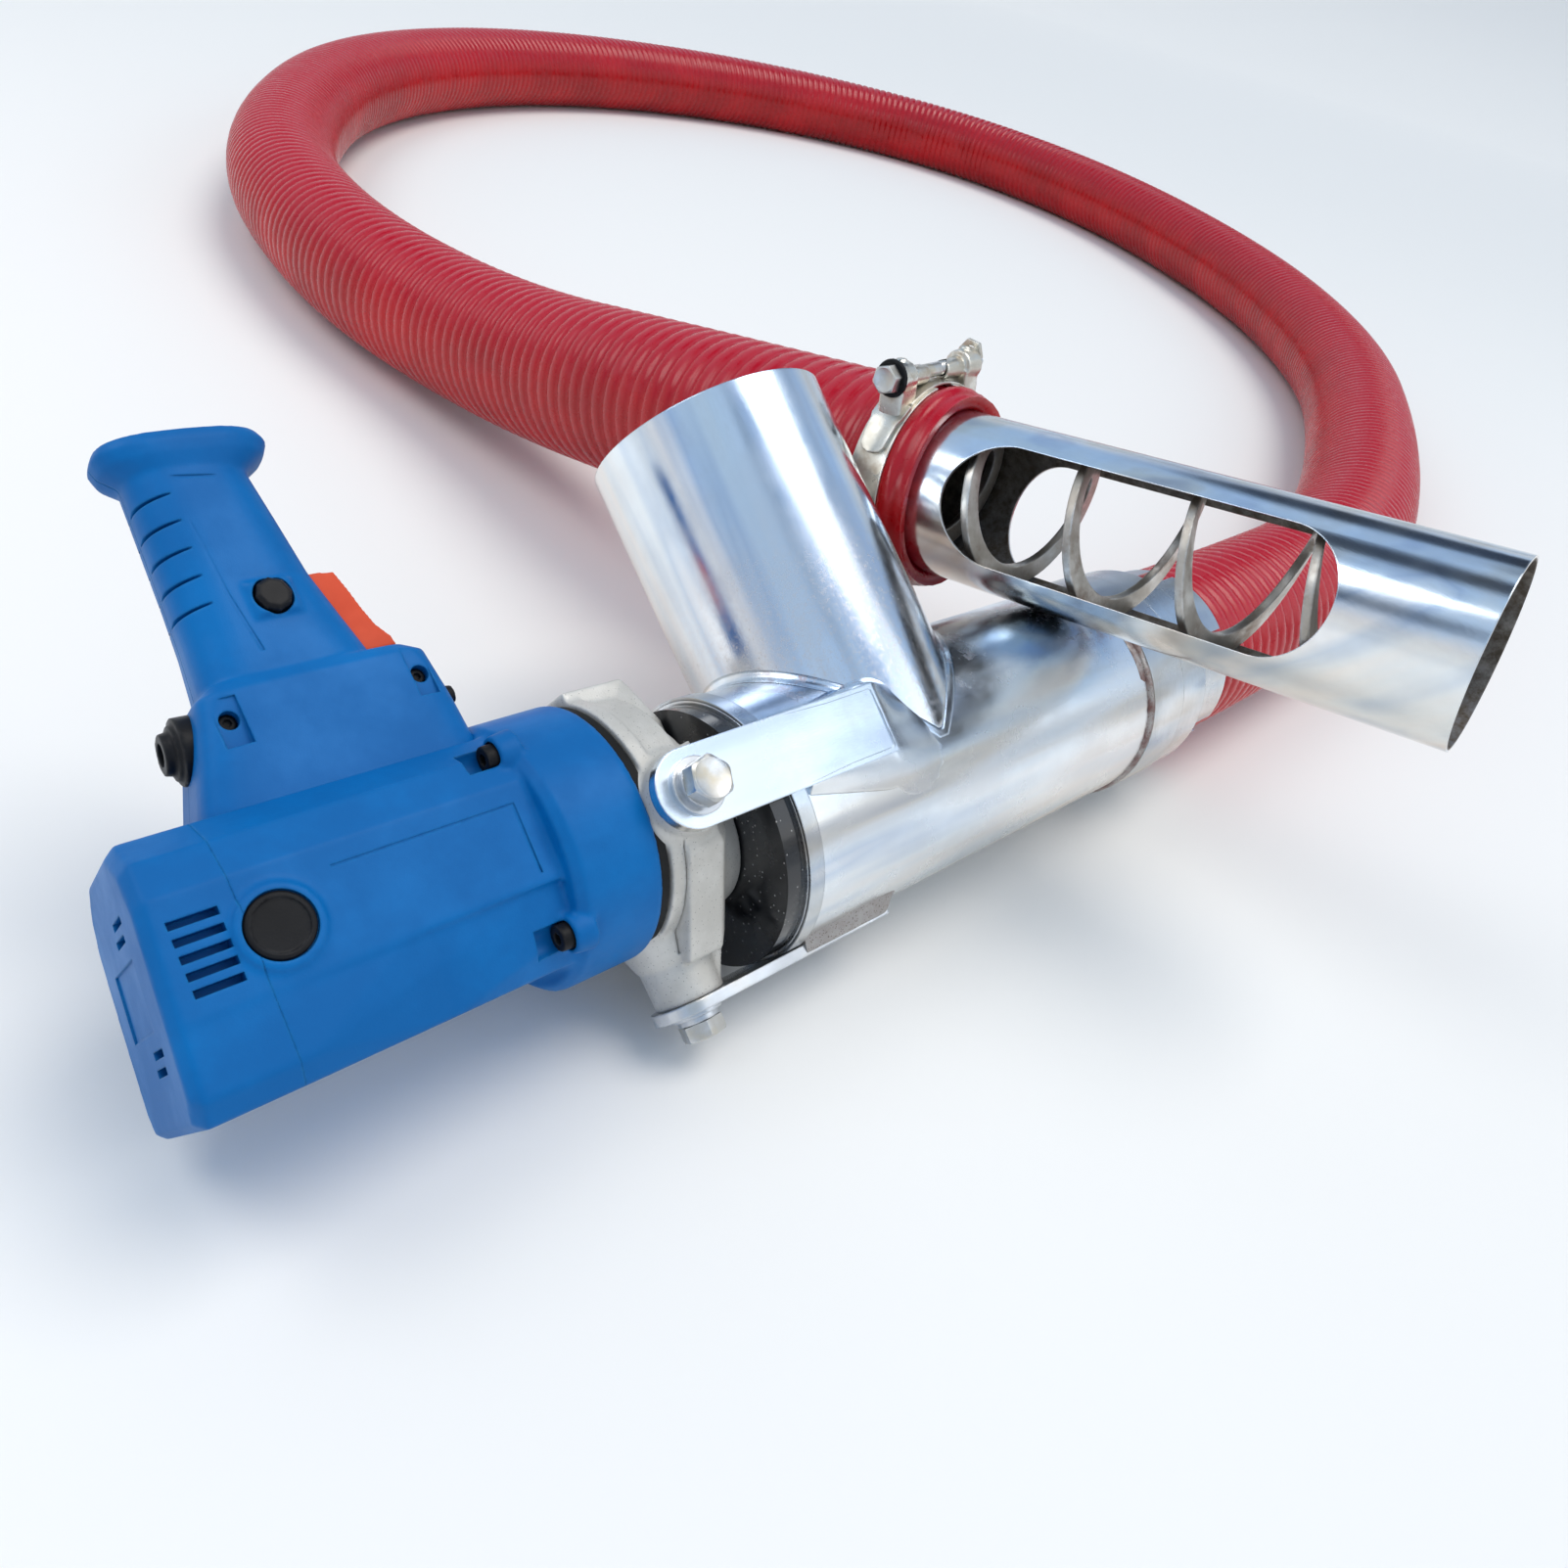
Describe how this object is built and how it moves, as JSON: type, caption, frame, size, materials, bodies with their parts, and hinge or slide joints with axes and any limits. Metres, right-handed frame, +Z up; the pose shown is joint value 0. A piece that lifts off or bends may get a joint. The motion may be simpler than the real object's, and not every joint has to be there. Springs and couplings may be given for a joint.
{
  "type": "grain auger",
  "caption": "Hand-held electric grain auger: drill motor, steel T-head with spout, ribbed red hose with a spiral inside, slotted steel intake tube.",
  "frame": {"origin": "on the floor under the centre of the box of everything but the hose", "axes": "+X along the spindle line from the motor towards the hose, +Y towards the hose loop and the spout's lean, +Z up"},
  "size_m": [2.0655, 1.9105, 0.2452],
  "materials": {
    "blue_plastic": "moulded",
    "black_plastic": "moulded",
    "red_plastic": "moulded",
    "red_hose": "ribbed PVC",
    "cast_alloy": "as cast",
    "sheet_steel": "rolled and welded",
    "zinc_steel": "zinc plated",
    "gear_steel": "ground",
    "spring_steel": "drawn strip",
    "copper": "turned",
    "lamination": "stacked sheet",
    "rubber": "moulded",
    "carbon": "pressed"
  },
  "bodies": {
    "base": {"motor_casing": "blue_plastic", "rear_cover": "blue_plastic", "handle_half_near": "blue_plastic", "handle_half_far": "blue_plastic", "handle_screws": "gear_steel", "lead_gland": "rubber", "switch_body": "black_plastic", "stator": "lamination", "rear_motor_bearing": "gear_steel", "front_motor_bearing": "gear_steel", "carbon_brushes": "carbon", "brush_holders": "copper", "brush_springs": "spring_steel", "brush_caps": "black_plastic", "spindle_bearing": "gear_steel", "spindle_seal": "rubber", "gear_plate": "black_plastic", "gear_case": "cast_alloy", "gearcase_screws": "gear_steel", "strap_near": "zinc_steel", "strap_far": "zinc_steel", "strap_below": "zinc_steel", "strap_bolts": "zinc_steel", "strap_washers": "zinc_steel", "strap_spring_washers": "zinc_steel", "head_tube": "sheet_steel", "spout_tube": "sheet_steel", "head_end_ring": "sheet_steel", "end_plate": "black_plastic", "outlet_ring": "sheet_steel", "hose_coupling": "sheet_steel", "slotted_sleeve": "sheet_steel", "intake_tube": "sheet_steel", "hose": "red_hose", "hose_spiral": "spring_steel", "clamp_band": "zinc_steel", "clamp_bridge": "zinc_steel", "clamp_trunnions": "zinc_steel", "clamp_bolt": "zinc_steel", "clamp_nut": "zinc_steel"},
    "armature": {"armature_shaft": "gear_steel", "rotor_core": "lamination", "commutator": "copper", "cooling_fan": "black_plastic", "motor_pinion": "gear_steel"},
    "layshaft": {"first_gear": "gear_steel", "lay_pinion": "gear_steel", "lay_shaft": "gear_steel"},
    "spindle": {"output_gear": "gear_steel", "output_spindle": "gear_steel", "drive_coupler": "gear_steel", "coupler_pin": "gear_steel", "head_spiral": "spring_steel"},
    "intake_screw": {"intake_spiral": "spring_steel"},
    "trigger": {"trigger": "red_plastic"},
    "lock_button": {"lock_button": "black_plastic"}
  },
  "joints": [
    {"name": "spindle_spin", "type": "hinge", "parent": "base", "child": "spindle", "pos_m": [-0.081, 0.00296, 0.062], "axis": [1, 0, 0], "continuous": true},
    {"name": "layshaft_spin", "type": "hinge", "parent": "base", "child": "layshaft", "pos_m": [-0.106, 0.03862, 0.05705], "axis": [1, 0, 0], "continuous": true},
    {"name": "armature_spin", "type": "hinge", "parent": "base", "child": "armature", "pos_m": [-0.201, 0.01893, 0.07404], "axis": [1, 0, 0], "continuous": true},
    {"name": "intake_spin", "type": "hinge", "parent": "base", "child": "intake_screw", "pos_m": [0.16589, 0.01568, 0.16614], "axis": [0.1276, -0.9756, 0.1788], "continuous": true},
    {"name": "trigger_press", "type": "slide", "parent": "base", "child": "trigger", "axis": [-1, 0, 0], "range_m": [0, 0.006], "stiffness_N_per_m": 700},
    {"name": "lock_button_press", "type": "slide", "parent": "base", "child": "lock_button", "axis": [0, 0.6018, -0.7986], "range_m": [0, 0.003], "stiffness_N_per_m": 500}
  ],
  "couplings": [
    {"joint": "layshaft_spin", "follows": "spindle_spin", "ratio": -3},
    {"joint": "armature_spin", "follows": "spindle_spin", "ratio": 12.6},
    {"joint": "intake_spin", "follows": "spindle_spin", "ratio": 1}
  ]
}
